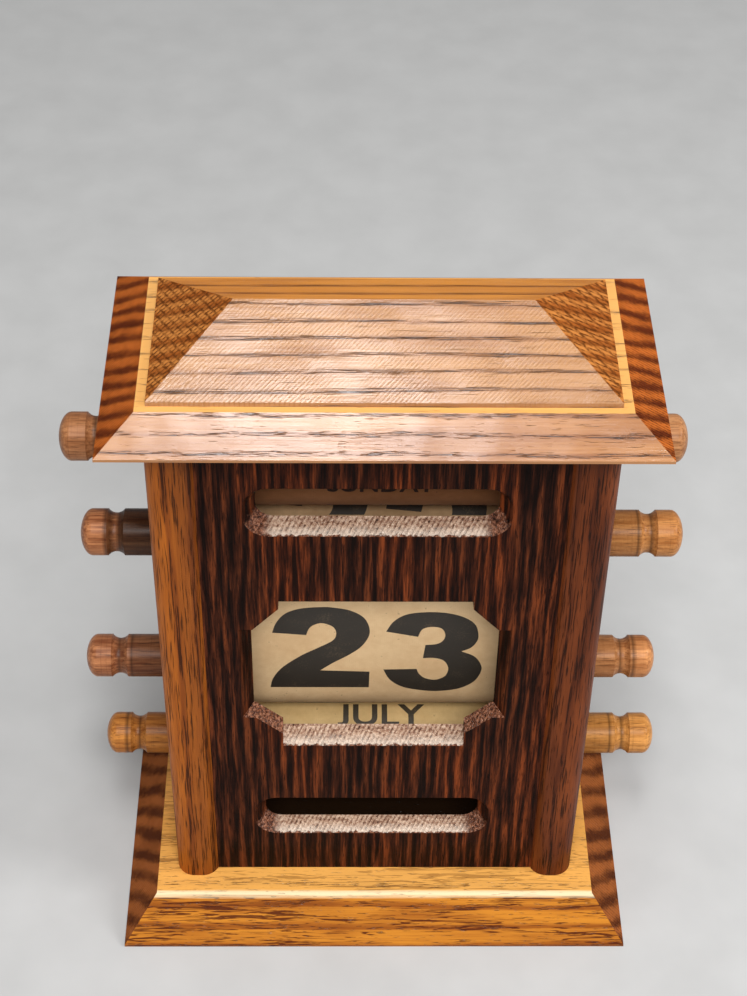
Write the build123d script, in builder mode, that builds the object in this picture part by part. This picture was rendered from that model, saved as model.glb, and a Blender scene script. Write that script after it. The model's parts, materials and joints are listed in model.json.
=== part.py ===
"""A wooden perpetual desk calendar: a small case with a hipped roof, a bevelled plinth and
three apertures in a recessed front panel. Behind them lie four rollers, each turned by a
knob at either side: the weekday drum, the two rollers of the date strip, the month drum.

Millimetres. +X is to the right, +Y to the back, +Z up. The origin is the middle of the
plinth's underside.
"""

from build123d import *
import os
from math import asin, cos, degrees, pi, radians, sin, sqrt, tan

os.makedirs("parts", exist_ok=True)

# ---- driving dimensions: case, built round the rollers ---------------------------------------
side_thickness = 9.3
side_round = 3.8  # radius of the side boards' front edges
barrel_clearance = 1.9  # from a side board to a barrel that sits in the middle

panel_recess = 2.2  # the front panel's face, behind the side boards' front
panel_thickness = 3.0
panel_groove = 3.0  # how deep the front panel sits in each side board
panel_clearance = 6.6  # from the front panel to the drums
back_thickness = 3.2
back_rebate = 4.0  # how far the back panel laps over each side board
back_clearance = 1.1  # from the back panel to the drums
floor_clearance = 6.1  # from the plinth to the month drum
head_clearance = 9.4  # from the weekday drum to the cornice

# ---- driving dimensions: plinth and roof -----------------------------------------------------
plinth_height = 10.0
plinth_side_overhang = 11.5
plinth_front_overhang = 11.9
plinth_bevel_run = 7.2
plinth_edge = 0.6  # upright edge under the plinth's bevel

cornice_height = 5.7
cornice_overhang = 7.5  # at the sides and the front
cornice_back_overhang = 3.1
cornice_bevel_run = 6.95
cornice_edge = 0.6  # upright edge under the cornice's bevel

roof_side_ledge = 1.95  # the cornice's flat top that shows round the roof block
roof_front_ledge = 1.5
roof_eave = 1.0
roof_rise = 9.0
roof_hip_run = 15.1  # each hip, from the eave to the ridge's end

# ---- driving dimensions: apertures -----------------------------------------------------------
aperture_shift = -0.8  # the apertures sit this far beside the case's middle
slot_width = 50.6
slot_height = 12.3
slot_corner = 5.0
slot_rear_corner = 3.6
slot_sill_bevel = 2.6  # how far a slot's sill rises through the panel
weekday_slot_drop = 4.9  # the slot's sill, below its drum's axis
month_slot_drop = 6.9
window_half_width = 27.0
window_sill_drop = 2.9  # the sill, below the lower date roller's axis
window_head_rise = 3.4  # the head, above the upper date roller's axis
window_sill_inset = 8.2  # from the window's side to its sill's end
window_head_inset = 7.9
window_cant_inset = 2.7  # from the window's side to where each corner's slope ends
window_top_step = 2.2  # upright step at the head's ends
window_top_corner = 8.1  # height of the upper corners
window_bottom_step = 4.0
window_bottom_corner = 9.0
window_sill_bevel = 3.5
corner_bevel = 1.5  # the rise at the window's lower corners
side_bevel = 2.3
head_bevel = 1.2

# ---- driving dimensions: rollers and knobs ---------------------------------------------------
drum_radius = 13.2  # over the paper band
band_thickness = 0.25
band_lap = 4.0  # how far bands and strip reach past the window's sides
band_margin = 1.5  # bare wood at either end of a barrel
date_core_radius = 8.4
strip_thickness = 0.2
strip_pitch = 33.0  # from one date number to the next
numbers_above = 22  # numbers wound on the upper roller
numbers_below = 8
strip_leader = 60.0  # blank strip at its lower end
web_length = 37.1  # from one date roller's axis to the other's
web_thickness = 0.25
web_clearance = 0.3  # the hanging strip, off the two rolls
web_wrap = 60.0  # degrees that the hanging strip follows each roll
day_clearance = 1.35  # from the weekday drum to the strip
month_clearance = 2.3  # from the month drum to the strip

knob_reach = 17.5  # the knobs' ends, past the side boards
head_length = 5.6
head_crown = 2.5  # the rounded end's share of the head, in mm
groove_length = 3.4
groove_depth = 0.85
bearing_clearance = 0.08
tenon_radius = 3.0
tenon_length = 10.0
quarter_turn = 90.0

# name of the roller, knob radius, end play taken up to the right
ROLLERS = (
    ("day", 4.8, -1.3),
    ("upper_date", 4.8, 0.75),
    ("lower_date", 4.6, -1.15),
    ("month", 4.55, 1.3),
)

# ---- driving dimensions: screws --------------------------------------------------------------
screw_radius = 1.1
screw_head_radius = 2.3
screw_head_angle = 82.0
screw_length = 16.0
screw_offset = 12.0  # in front of and behind the case's middle
screw_sink = 0.4  # the heads lie this far below the wood
driver_slot_width = 0.6
driver_slot_depth = 0.5
back_screw_radius = 0.9
back_screw_head_radius = 1.8
back_screw_head_height = 1.2
back_screw_length = 8.0
back_screw_inset = 9.0  # from the back panel's ends


def roll_radius(numbers, leader):
    """Outer radius of the strip wound on its core: its length times its thickness fills the ring."""
    length = numbers * strip_pitch + leader
    return sqrt(date_core_radius**2 + length * strip_thickness / pi)


# ---- derived sizes: along the rollers, front to back, upwards --------------------------------
band_width = 2 * (window_half_width + band_lap)
barrel_length = band_width + 2 * band_margin
inner_half = barrel_length / 2 + barrel_clearance
case_width = 2 * (inner_half + side_thickness)
knob_tip = case_width / 2 + knob_reach

panel_stand = panel_recess + panel_thickness
case_depth = panel_stand + panel_clearance + 2 * drum_radius + back_clearance + back_thickness
front_y = -case_depth / 2
back_y = case_depth / 2
panel_face_y = front_y + panel_recess
panel_back_y = front_y + panel_stand
roller_y = panel_back_y + panel_clearance + drum_radius

upper_roll_radius = roll_radius(numbers_above, 0)
lower_roll_radius = roll_radius(numbers_below, strip_leader)
upper_path = upper_roll_radius + web_clearance
lower_path = lower_roll_radius + web_clearance
month_z = plinth_height + floor_clearance + drum_radius
lower_z = month_z + drum_radius + month_clearance + web_thickness + lower_path
upper_z = lower_z + web_length
day_z = upper_z + upper_path + web_thickness + day_clearance + drum_radius
roller_z = {"day": day_z, "upper_date": upper_z, "lower_date": lower_z, "month": month_z}
case_height = day_z + drum_radius + head_clearance - plinth_height
case_top = plinth_height + case_height
cornice_top = case_top + cornice_height
side_middle = case_width / 2 - side_thickness / 2
rebate_middle = inner_half + back_rebate / 2
head_cone = tan(radians(screw_head_angle / 2))
sink_radius = screw_head_radius + screw_sink * head_cone
head_height = (screw_head_radius - screw_radius) / head_cone
side_screw_rows = (-screw_offset, screw_offset)
back_screw_heights = (
    plinth_height + back_screw_inset,
    plinth_height + case_height / 2,
    case_top - back_screw_inset,
)
end_play = {name: shift for name, _, shift in ROLLERS}


def write(part, name):
    """Label the finished piece and write its STEP file."""
    part.label = name
    export_step(part, f"parts/{name}.step")


# ---- plinth ----------------------------------------------------------------------------------
with BuildPart() as base_plinth:
    with BuildSketch():
        Rectangle(case_width + 2 * plinth_side_overhang, case_depth + 2 * plinth_front_overhang)
    extrude(amount=plinth_height)
    plinth_face = base_plinth.faces().sort_by(Axis.Z)[-1]
    chamfer(
        plinth_face.edges(),
        length=plinth_bevel_run,
        length2=plinth_height - plinth_edge,
        reference=plinth_face,
    )
    with Locations(*[
        Plane(origin=(x, y, 0), z_dir=(0, 0, -1))
        for x in (-side_middle, side_middle)
        for y in side_screw_rows
    ]):
        CounterSinkHole(screw_radius, sink_radius, counter_sink_angle=screw_head_angle)
write(base_plinth.part, "base_plinth")

# ---- side boards -----------------------------------------------------------------------------
for side, hand in (("left", -1), ("right", 1)):
    screw_places = [(hand * side_middle, y) for y in side_screw_rows]
    with BuildPart() as side_board:
        with BuildSketch(Plane.XY.offset(plinth_height)):
            with Locations((hand * side_middle, 0)):
                Rectangle(side_thickness, case_depth)
        extrude(amount=case_height)
        fillet(side_board.edges().filter_by(Axis.Z).group_by(Axis.Y)[0], radius=side_round)
        # the front panel's groove and the back panel's rebate
        with BuildSketch(Plane.XY.offset(plinth_height)):
            with Locations((hand * (inner_half + panel_groove / 2), (panel_face_y + panel_back_y) / 2)):
                Rectangle(panel_groove, panel_thickness)
            with Locations((hand * rebate_middle, back_y - back_thickness / 2)):
                Rectangle(back_rebate, back_thickness)
        extrude(amount=case_height, mode=Mode.SUBTRACT)
        # the knobs' bearings
        with BuildSketch(Plane.YZ):
            for name, knob_radius, _ in ROLLERS:
                with Locations((roller_y, roller_z[name])):
                    Circle(knob_radius + bearing_clearance)
        extrude(amount=hand * case_width, mode=Mode.SUBTRACT)
        # the screws' holes: from the plinth, from the cornice, from the back panel
        with BuildSketch(Plane.XY.offset(plinth_height)):
            with Locations(*screw_places):
                Circle(screw_radius)
        extrude(amount=screw_sink + screw_length - plinth_height, mode=Mode.SUBTRACT)
        with BuildSketch(Plane.XY.offset(case_top)):
            with Locations(*screw_places):
                Circle(screw_radius)
        extrude(amount=cornice_height - screw_sink - screw_length, mode=Mode.SUBTRACT)
        with BuildSketch(Plane.XZ.offset(-back_y)):
            with Locations(*[(hand * rebate_middle, z) for z in back_screw_heights]):
                Circle(back_screw_radius)
        extrude(amount=back_screw_length, mode=Mode.SUBTRACT)
    write(side_board.part, f"{side}_side_board")


# ---- front panel -----------------------------------------------------------------------------
def slot_outline(sill, rise, drop, inset, corner):
    """A slot's outline at one face of the panel, moved in from its front outline."""
    low = sill + rise
    high = sill + slot_height - drop
    with Locations((aperture_shift, (low + high) / 2)):
        RectangleRounded(slot_width - 2 * inset, high - low, corner)


def window_corners(rise, corner_rise, drop, inset):
    """The window's corners at one face of the panel: a step and a slope at each of the four."""
    sill = lower_z - window_sill_drop
    head = upper_z + window_head_rise - drop
    sill_half = window_half_width - window_sill_inset
    head_half = window_half_width - window_head_inset
    cant_half = window_half_width - window_cant_inset
    right_side = [
        (sill_half, sill + rise),
        (sill_half, sill + window_bottom_step + corner_rise),
        (cant_half, sill + window_bottom_corner + corner_rise),
        (window_half_width - inset, sill + window_bottom_corner + corner_rise),
        (window_half_width - inset, head - window_top_corner),
        (cant_half, head - window_top_corner),
        (head_half, head - window_top_step),
        (head_half, head),
    ]
    outline = right_side + [(-x, z) for x, z in reversed(right_side)]
    return [(x + aperture_shift, z) for x, z in outline]


panel_face = Plane.XZ.offset(-panel_face_y)
panel_rear = Plane.XZ.offset(-panel_back_y)
with BuildPart() as front_panel:
    with BuildSketch(Plane.XY.offset(plinth_height)):
        with Locations((0, (panel_face_y + panel_back_y) / 2)):
            Rectangle(2 * (inner_half + panel_groove), panel_thickness)
    extrude(amount=case_height)
    for sill in (day_z - weekday_slot_drop, month_z - month_slot_drop):
        with BuildSketch(panel_face):
            slot_outline(sill, 0, 0, 0, slot_corner)
        with BuildSketch(panel_rear):
            slot_outline(sill, slot_sill_bevel, head_bevel, side_bevel, slot_rear_corner)
        loft(mode=Mode.SUBTRACT)
    with BuildSketch(panel_face):
        with BuildLine():
            Polyline(*window_corners(0, 0, 0, 0), close=True)
        make_face()
    with BuildSketch(panel_rear):
        with BuildLine():
            rear_corners = window_corners(window_sill_bevel, corner_bevel, head_bevel, side_bevel)
            Polyline(*rear_corners, close=True)
        make_face()
    loft(ruled=True, mode=Mode.SUBTRACT)
write(front_panel.part, "front_panel")

# ---- back panel ------------------------------------------------------------------------------
with BuildPart() as back_panel:
    with BuildSketch(Plane.XY.offset(plinth_height)):
        with Locations((0, back_y - back_thickness / 2)):
            Rectangle(2 * (inner_half + back_rebate), back_thickness)
    extrude(amount=case_height)
    with BuildSketch(Plane.XZ.offset(-back_y)):
        with Locations(*[(x, z) for x in (-rebate_middle, rebate_middle) for z in back_screw_heights]):
            Circle(back_screw_radius)
    extrude(amount=back_thickness, mode=Mode.SUBTRACT)
write(back_panel.part, "back_panel")

# ---- cornice and roof ------------------------------------------------------------------------
cornice_width = case_width + 2 * cornice_overhang
cornice_depth = case_depth + cornice_overhang + cornice_back_overhang
cornice_y = (cornice_back_overhang - cornice_overhang) / 2
with BuildPart() as cornice_board:
    with BuildSketch(Plane.XY.offset(case_top)):
        with Locations((0, cornice_y)):
            Rectangle(cornice_width, cornice_depth)
    extrude(amount=cornice_height)
    cornice_face = cornice_board.faces().sort_by(Axis.Z)[-1]
    chamfer(
        cornice_face.edges(),
        length=cornice_bevel_run,
        length2=cornice_height - cornice_edge,
        reference=cornice_face,
    )
    with Locations(*[(x, y, cornice_top) for x in (-side_middle, side_middle) for y in side_screw_rows]):
        CounterSinkHole(screw_radius, sink_radius, counter_sink_angle=screw_head_angle)
write(cornice_board.part, "cornice_board")

roof_width = cornice_width - 2 * (cornice_bevel_run + roof_side_ledge)
roof_depth = cornice_depth - 2 * (cornice_bevel_run + roof_front_ledge)
ridge_half = roof_width / 2 - roof_hip_run
with BuildPart() as roof_block:
    with BuildSketch(Plane.XY.offset(cornice_top)):
        with Locations((0, cornice_y)):
            Rectangle(roof_width, roof_depth)
    extrude(amount=roof_eave + roof_rise)
    # the two long slopes, then the two hips
    with BuildSketch(Plane.YZ.offset(-roof_width / 2)):
        for edge in (-1, 1):
            with BuildLine():
                Polyline(
                    (cornice_y, cornice_top + roof_eave + roof_rise),
                    (cornice_y + edge * roof_depth / 2, cornice_top + roof_eave + roof_rise),
                    (cornice_y + edge * roof_depth / 2, cornice_top + roof_eave),
                    close=True,
                )
            make_face()
    extrude(amount=roof_width, mode=Mode.SUBTRACT)
    with BuildSketch(Plane.XZ.offset(-(cornice_y + roof_depth / 2))):
        for edge in (-1, 1):
            with BuildLine():
                Polyline(
                    (edge * ridge_half, cornice_top + roof_eave + roof_rise),
                    (edge * roof_width / 2, cornice_top + roof_eave + roof_rise),
                    (edge * roof_width / 2, cornice_top + roof_eave),
                    close=True,
                )
            make_face()
    extrude(amount=roof_depth, mode=Mode.SUBTRACT)
write(roof_block.part, "roof_block")

# ---- rollers: wooden barrels with a knob pressed into each end -------------------------------
barrel_radius = {
    "day": drum_radius - band_thickness,
    "upper_date": date_core_radius,
    "lower_date": date_core_radius,
    "month": drum_radius - band_thickness,
}
barrel_name = {
    "day": "day_drum",
    "upper_date": "upper_date_roller",
    "lower_date": "lower_date_roller",
    "month": "month_drum",
}
for name in roller_z:
    start = end_play[name] - barrel_length / 2
    with BuildPart() as barrel:
        with BuildSketch(Plane.YZ.offset(start)):
            with Locations((roller_y, roller_z[name])):
                Circle(barrel_radius[name])
        extrude(amount=barrel_length)
        for end, inward in ((start, 1), (start + barrel_length, -1)):
            with BuildSketch(Plane.YZ.offset(end)):
                with Locations((roller_y, roller_z[name])):
                    Circle(tenon_radius)
            extrude(amount=inward * tenon_length, mode=Mode.SUBTRACT)
    write(barrel.part, barrel_name[name])

for name, knob_radius, shift in ROLLERS:
    for side, hand in (("left", -1), ("right", 1)):
        shoulder = barrel_length / 2
        crown_start = knob_tip - head_crown
        head_start = knob_tip - head_length
        groove_start = head_start - groove_length
        axis_point = (shift, roller_y, roller_z[name])
        with BuildPart() as knob:
            with BuildSketch(Plane(origin=axis_point, x_dir=(hand, 0, 0), z_dir=(0, 0, 1))):
                with BuildLine():
                    Polyline(
                        (knob_tip, 0),
                        (shoulder - tenon_length, 0),
                        (shoulder - tenon_length, tenon_radius),
                        (shoulder, tenon_radius),
                        (shoulder, knob_radius),
                        (groove_start, knob_radius),
                    )
                    ThreePointArc(
                        (groove_start, knob_radius),
                        (groove_start + groove_length / 2, knob_radius - groove_depth),
                        (head_start, knob_radius),
                    )
                    Line((head_start, knob_radius), (crown_start, knob_radius))
                    EllipticalCenterArc(
                        (crown_start, 0),
                        head_crown,
                        knob_radius,
                        arc_size=quarter_turn,
                    )
                make_face()
            revolve(axis=Axis(axis_point, (1, 0, 0)))
        write(knob.part, f"{name}_knob_{side}")

# ---- paper: bands on the drums, the strip's two rolls ----------------------------------------
paper_rings = (
    ("day_band", "day", drum_radius),
    ("month_band", "month", drum_radius),
    ("upper_strip_roll", "upper_date", upper_roll_radius),
    ("lower_strip_roll", "lower_date", lower_roll_radius),
)
for ring_name, name, outer_radius in paper_rings:
    with BuildPart() as ring:
        with BuildSketch(Plane.YZ.offset(end_play[name] - band_width / 2)):
            with Locations((roller_y, roller_z[name])):
                Circle(outer_radius)
                Circle(barrel_radius[name], mode=Mode.SUBTRACT)
        extrude(amount=band_width)
    write(ring.part, ring_name)

# ---- the strip between the rolls: tangent to both, following each a little way ---------------
upper_centre = (roller_y, upper_z)
lower_centre = (roller_y, lower_z)
lean = degrees(asin((upper_path - lower_path) / web_length))


def on_circle(centre, radius, angle):
    """A point at an angle from +Y towards +Z."""
    return (centre[0] + radius * cos(radians(angle)), centre[1] + radius * sin(radians(angle)))


with BuildPart() as date_strip:
    with BuildSketch(Plane.YZ.offset(-band_width / 2)):
        with BuildLine():
            for layer in (0, web_thickness):
                CenterArc(upper_centre, upper_path + layer, 180 - web_wrap, web_wrap + lean)
                Line(
                    on_circle(upper_centre, upper_path + layer, 180 + lean),
                    on_circle(lower_centre, lower_path + layer, 180 + lean),
                )
                CenterArc(lower_centre, lower_path + layer, 180 + lean, web_wrap - lean)
            for centre, radius, angle in (
                (upper_centre, upper_path, 180 - web_wrap),
                (lower_centre, lower_path, 180 + web_wrap),
            ):
                Line(
                    on_circle(centre, radius, angle),
                    on_circle(centre, radius + web_thickness, angle),
                )
        make_face()
    extrude(amount=band_width)
write(date_strip.part, "date_strip")


# ---- screws ----------------------------------------------------------------------------------
def countersunk_screws(planes):
    """Screws whose heads' faces lie on the planes and whose shanks go the other way."""
    with Locations(*planes):
        with Locations((0, 0, -screw_length / 2)):
            Cylinder(screw_radius, screw_length)
        with Locations((0, 0, -head_height / 2)):
            Cone(screw_radius, screw_head_radius, head_height)
        Box(
            2 * screw_head_radius,
            driver_slot_width,
            2 * driver_slot_depth,
            mode=Mode.SUBTRACT,
        )


with BuildPart() as base_screws:
    countersunk_screws([
        Plane(origin=(x, y, screw_sink), z_dir=(0, 0, -1))
        for x in (-side_middle, side_middle)
        for y in side_screw_rows
    ])
write(base_screws.part, "base_screws")

with BuildPart() as cornice_screws:
    countersunk_screws([
        Plane(origin=(x, y, cornice_top - screw_sink), z_dir=(0, 0, 1))
        for x in (-side_middle, side_middle)
        for y in side_screw_rows
    ])
write(cornice_screws.part, "cornice_screws")

with BuildPart() as back_screws:
    with Locations(*[
        Plane(origin=(x, back_y, z), z_dir=(0, 1, 0))
        for x in (-rebate_middle, rebate_middle)
        for z in back_screw_heights
    ]):
        with Locations((0, 0, -back_screw_length / 2)):
            Cylinder(back_screw_radius, back_screw_length)
        with Locations((0, 0, back_screw_head_height / 2)):
            Cylinder(back_screw_head_radius, back_screw_head_height)
    fillet(
        back_screws.edges().filter_by(GeomType.CIRCLE).group_by(Axis.Y)[-1],
        radius=back_screw_head_height * 0.6,
    )
    with Locations(*[
        Plane(origin=(x, back_y + back_screw_head_height, z), z_dir=(0, 1, 0))
        for x in (-rebate_middle, rebate_middle)
        for z in back_screw_heights
    ]):
        Box(
            2 * back_screw_head_radius,
            driver_slot_width,
            2 * driver_slot_depth,
            mode=Mode.SUBTRACT,
        )
write(back_screws.part, "back_screws")
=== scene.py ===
"""A wooden perpetual desk calendar: varnished woods, aged paper, printed numbers and words."""
import json
import math

import bmesh
import bpy
from mathutils import Matrix, Vector


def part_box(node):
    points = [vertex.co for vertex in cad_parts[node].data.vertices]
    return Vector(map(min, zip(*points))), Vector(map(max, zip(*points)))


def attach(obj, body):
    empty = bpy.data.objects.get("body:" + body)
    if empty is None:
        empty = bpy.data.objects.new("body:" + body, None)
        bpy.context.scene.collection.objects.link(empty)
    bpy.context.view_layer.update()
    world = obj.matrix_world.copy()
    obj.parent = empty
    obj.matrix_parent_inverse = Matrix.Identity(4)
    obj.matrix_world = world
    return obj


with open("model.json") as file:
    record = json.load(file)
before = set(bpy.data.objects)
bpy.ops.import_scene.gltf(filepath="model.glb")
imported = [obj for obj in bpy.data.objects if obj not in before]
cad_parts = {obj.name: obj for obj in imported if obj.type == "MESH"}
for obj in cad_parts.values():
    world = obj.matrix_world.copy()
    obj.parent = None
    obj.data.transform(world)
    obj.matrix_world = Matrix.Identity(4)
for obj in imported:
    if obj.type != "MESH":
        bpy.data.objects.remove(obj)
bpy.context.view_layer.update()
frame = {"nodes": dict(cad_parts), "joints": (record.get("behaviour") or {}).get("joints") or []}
nodes = frame["nodes"]

MM = 0.001
RAMP_SPAN = 0.01  # brings a distance in mm into a ramp's run from 0 to 1
# places on the case, in mm in the part's own frame
PANEL_FACE_Y = -19.05
SLOTS_SHIFT = 0.8  # how far left of the middle the apertures sit
CASE_INSIDE = (34.3, -16.0, 18.0)  # half width, and from front to back
PLINTH_LEDGE_EDGE_Y = -25.95
LEFT_BOARD_ROUND_X = (-37.2, -41.2)  # where the left board's rounded edge starts and ends


# ---- material graphs -------------------------------------------------------------------------
class Graph:
    """Short calls for the nodes of one material."""

    def __init__(self, name):
        self.material = bpy.data.materials.new(name)
        self.material.use_nodes = True
        self.tree = self.material.node_tree
        self.tree.nodes.clear()
        self.output = self.node("OutputMaterial")
        self.shader = self.node("BsdfPrincipled")
        self.tree.links.new(self.shader.outputs[0], self.output.inputs["Surface"])

    def node(self, kind, inputs=None, **settings):
        made = self.tree.nodes.new("ShaderNode" + kind)
        for key, value in settings.items():
            setattr(made, key, value)
        for key, value in (inputs or {}).items():
            self.put(made.inputs[key], value)
        return made

    def put(self, socket, value):
        if isinstance(value, bpy.types.NodeSocket):
            self.tree.links.new(value, socket)
        else:
            socket.default_value = value

    def set(self, **inputs):
        for key, value in inputs.items():
            self.put(self.shader.inputs[key.replace("_", " ")], value)

    def place(self, offset=(0, 0, 0)):
        """The point on the surface in millimetres, in the piece's own frame."""
        point = self.node("TexCoord").outputs["Object"]
        made = self.node("Mapping", {"Vector": point, "Scale": (1000,) * 3, "Location": offset})
        return made.outputs[0]

    def squeeze(self, vector, scale):
        return self.node("Mapping", {"Vector": vector, "Scale": scale}).outputs[0]

    def noise(self, vector, scale=1.0, detail=2.0, rough=0.5, twist=0.0):
        inputs = {
            "Vector": vector, "Scale": scale, "Detail": detail,
            "Roughness": rough, "Distortion": twist,
        }
        return self.node("TexNoise", inputs).outputs[0]

    def math(self, operation, a, b=0.0, c=0.0, clamp=False):
        """One sum on values or colours' grey; c counts in MULTIPLY_ADD alone."""
        made = self.node("Math", {0: a, 1: b, 2: c}, operation=operation, use_clamp=clamp)
        return made.outputs[0]

    def ramp(self, factor, stops):
        """Stops are (position, grey or colour)."""
        made = self.node("ValToRGB", {"Fac": factor})
        band = made.color_ramp
        while len(band.elements) < len(stops):
            band.elements.new(0.5)
        for element, (position, colour) in zip(band.elements, stops):
            if isinstance(colour, (int, float)):
                colour = (colour,) * 3
            element.position = position
            element.color = (*colour, 1)
        return made.outputs[0]

    def mix(self, factor, a, b, blend="MIX"):
        made = self.node("Mix", data_type="RGBA", blend_type=blend)
        self.put(made.inputs["Factor"], factor)
        for socket, value in ((made.inputs[6], a), (made.inputs[7], b)):
            self.put(socket, value if isinstance(value, bpy.types.NodeSocket) else (*value, 1))
        return made.outputs[2]

    def part(self, vector, axis):
        return self.node("SeparateXYZ", {"Vector": vector}).outputs[axis]

    def dot(self, vector, direction):
        made = self.node("VectorMath", {0: vector, 1: direction}, operation="DOT_PRODUCT")
        return made.outputs["Value"]

    def lines(self, point, across, spacing, wobble):
        """Thin parallel marks across a direction, unsteady in depth and spacing."""
        place = self.math("MULTIPLY", self.dot(point, across), 2 * math.pi / spacing)
        sway = self.math("MULTIPLY", self.noise(point, 0.5, 2.0), wobble * 2 * math.pi)
        wave = self.math("MULTIPLY_ADD", self.math("SINE", self.math("ADD", place, sway)), 0.5, 0.5)
        depth = self.ramp(self.noise(point, 1.1, 2.0), [(0.36, 0.25), (0.6, 1.0)])
        return self.math("MULTIPLY", self.ramp(wave, [(0.55, 0.0), (0.92, 1.0)]), depth)

    def facing(self, axis):
        """How far the surface faces along one of the piece's own axes."""
        return self.part(self.node("TexCoord").outputs["Normal"], axis)

    def bump(self, height, distance, strength=1.0, under=None):
        made = self.node("Bump", {"Height": height, "Distance": distance, "Strength": strength})
        if under is not None:
            self.put(made.inputs["Normal"], under)
        return made.outputs[0]


def along_grain(axis, along, across):
    """Scales for a pattern that runs along one axis."""
    return tuple(along if i == axis else across for i in range(3))


def shaded(colour, share):
    return tuple(v * share for v in colour)


def growth(g, p, axis, tilt, ring_pitch, waver):
    """Growth rings, wavering sheets along the grain: each year's course, and its early wood."""
    drift = g.noise(g.squeeze(p, along_grain(axis, 0.014, 0.10)), 1.0, 2.0, 0.5)
    jitter = g.noise(g.squeeze(p, along_grain(axis, 0.10, 0.8)), 1.0, 2.0, 0.6)
    year = g.math("MULTIPLY", g.dot(p, tilt), 1 / ring_pitch)
    year = g.math("ADD", year, g.math("MULTIPLY", drift, 2 * waver))
    year = g.math("FRACT", g.math("ADD", year, g.math("MULTIPLY", jitter, 0.25)))
    early = g.ramp(year, [
        (0.0, 0.6), (0.06, 1.0), (0.18, 0.6), (0.30, 0.0), (0.92, 0.0), (1.0, 0.6),
    ])
    return year, early


def heartwood(g, p, axis):
    """Broken dark streaks along the grain."""
    streak = g.noise(g.squeeze(p, along_grain(axis, 0.085, 1.45)), 1.0, 3.0, 0.6, 1.3)
    thick = g.noise(g.squeeze(p, along_grain(axis, 0.02, 0.15)), 1.0, 1.0)
    streak = g.math("MULTIPLY_ADD", g.math("SUBTRACT", thick, 0.5), 0.45, streak)
    return g.ramp(streak, [(0.535, 0.0), (0.60, 1.0)])


def end_grain(g, p, year, fibre, broad, light, dark, hatch, cross, pitch):
    """Broad dark years under the saw's fine marks: the colour, and the marks."""
    cut = g.math("ADD", year, g.math("MULTIPLY", g.noise(p, 1.5, 3.0, 0.7), 0.4))
    cut = g.math("FRACT", g.math("SUBTRACT", cut, 0.2))
    tone = g.ramp(cut, [
        (0.0, 0.6), (0.15, 1.0), (0.32, 0.9), (0.62, 0.0), (0.84, 0.0), (1.0, 0.6),
    ])
    tone = g.math("MULTIPLY_ADD", g.math("SUBTRACT", fibre, 0.5), 1.6, tone, True)
    tone = g.math("MULTIPLY_ADD", g.math("SUBTRACT", broad, 0.5), 1.4, tone, True)
    marks = g.lines(p, (-0.34, 1.0, -0.28), pitch, 0.35)
    if cross:
        crossing = g.lines(p, (0.68, 0.48, 0.56), pitch * 1.1, 0.35)
        marks = g.math("MAXIMUM", marks, g.math("MULTIPLY", crossing, cross))
    colour = g.mix(tone, light, dark)
    return g.mix(g.math("MULTIPLY", marks, hatch), colour, shaded(dark, 0.35)), marks


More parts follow.
